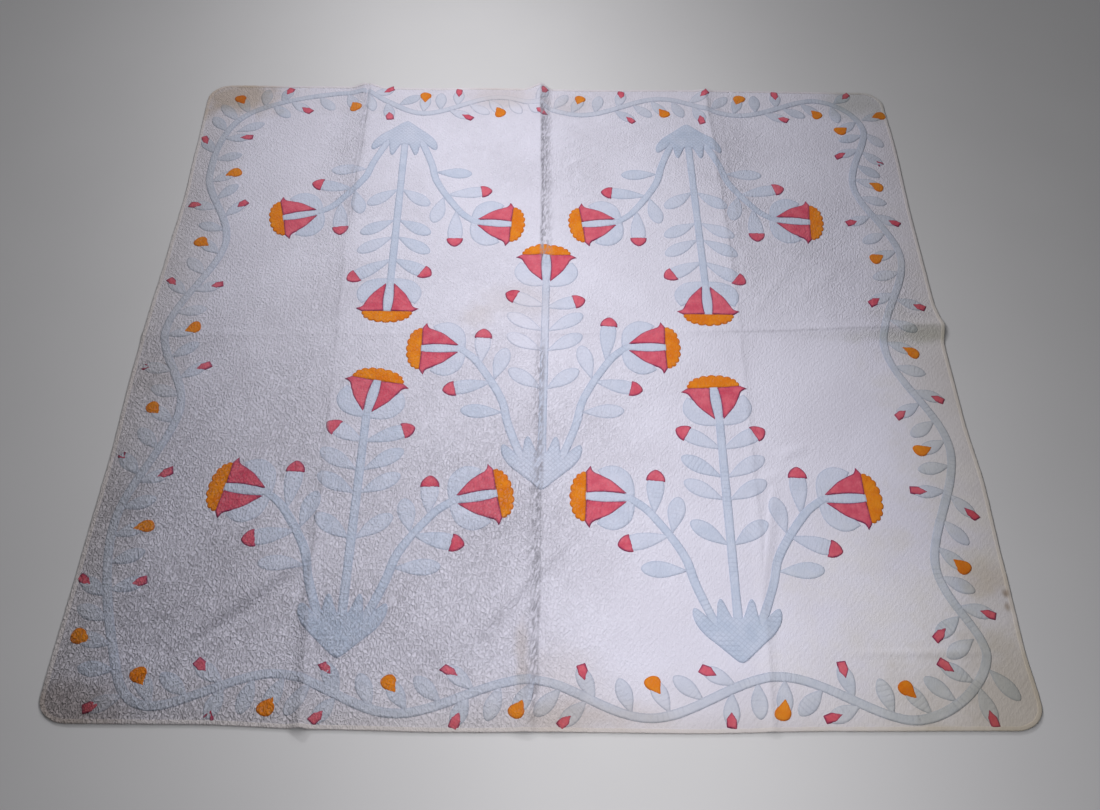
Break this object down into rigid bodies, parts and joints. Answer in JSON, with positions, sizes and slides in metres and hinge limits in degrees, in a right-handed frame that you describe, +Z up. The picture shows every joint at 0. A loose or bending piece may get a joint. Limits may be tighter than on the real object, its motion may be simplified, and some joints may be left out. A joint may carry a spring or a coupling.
{
  "type": "applique quilt",
  "caption": "Hand-quilted bed cover spread out flat, with flower sprays and a leafy vine border sewn on a pale ground, bound edge and old storage creases.",
  "frame": {"origin": "on the surface that the quilt lies on, under the middle of its outline", "axes": "+X across the width, +Y along the length towards the far end, +Z up"},
  "size_m": [2.044, 1.9617, 0.0288],
  "materials": {
    "ground_cloth": "hand-quilted cotton",
    "binding_cloth": "worn cotton tape",
    "blue_cloth": "faded quilted cotton",
    "red_cloth": "faded plain cotton",
    "orange_cloth": "plain cotton"
  },
  "bodies": {
    "root": {"binding": "binding_cloth", "border_vine": "blue_cloth", "crown_centre_left": "orange_cloth", "crown_centre_right": "orange_cloth", "crown_centre_top": "orange_cloth", "crown_low_left_left": "orange_cloth", "crown_low_left_right": "orange_cloth", "crown_low_left_top": "orange_cloth", "crown_low_right_left": "orange_cloth", "crown_low_right_right": "orange_cloth", "crown_low_right_top": "orange_cloth", "crown_up_left_left": "orange_cloth", "crown_up_left_right": "orange_cloth", "crown_up_left_top": "orange_cloth", "crown_up_right_left": "orange_cloth", "crown_up_right_right": "orange_cloth", "crown_up_right_top": "orange_cloth", "petal_centre_left_first": "red_cloth", "petal_centre_left_second": "red_cloth", "petal_centre_right_first": "red_cloth", "petal_centre_right_second": "red_cloth", "petal_centre_top_first": "red_cloth", "petal_centre_top_second": "red_cloth", "petal_low_left_left_first": "red_cloth", "petal_low_left_left_second": "red_cloth", "petal_low_left_right_first": "red_cloth", "petal_low_left_right_second": "red_cloth", "petal_low_left_top_first": "red_cloth", "petal_low_left_top_second": "red_cloth", "petal_low_right_left_first": "red_cloth", "petal_low_right_left_second": "red_cloth", "petal_low_right_right_first": "red_cloth", "petal_low_right_right_second": "red_cloth", "petal_low_right_top_first": "red_cloth", "petal_low_right_top_second": "red_cloth", "petal_up_left_left_first": "red_cloth", "petal_up_left_left_second": "red_cloth", "petal_up_left_right_first": "red_cloth", "petal_up_left_right_second": "red_cloth", "petal_up_left_top_first": "red_cloth", "petal_up_left_top_second": "red_cloth", "petal_up_right_left_first": "red_cloth", "petal_up_right_left_second": "red_cloth", "petal_up_right_right_first": "red_cloth", "petal_up_right_right_second": "red_cloth", "petal_up_right_top_first": "red_cloth", "petal_up_right_top_second": "red_cloth", "quilted_ground": "ground_cloth", "spray_centre": "blue_cloth", "spray_low_left": "blue_cloth", "spray_low_right": "blue_cloth", "spray_up_left": "blue_cloth", "spray_up_right": "blue_cloth"}
  },
  "joints": []
}
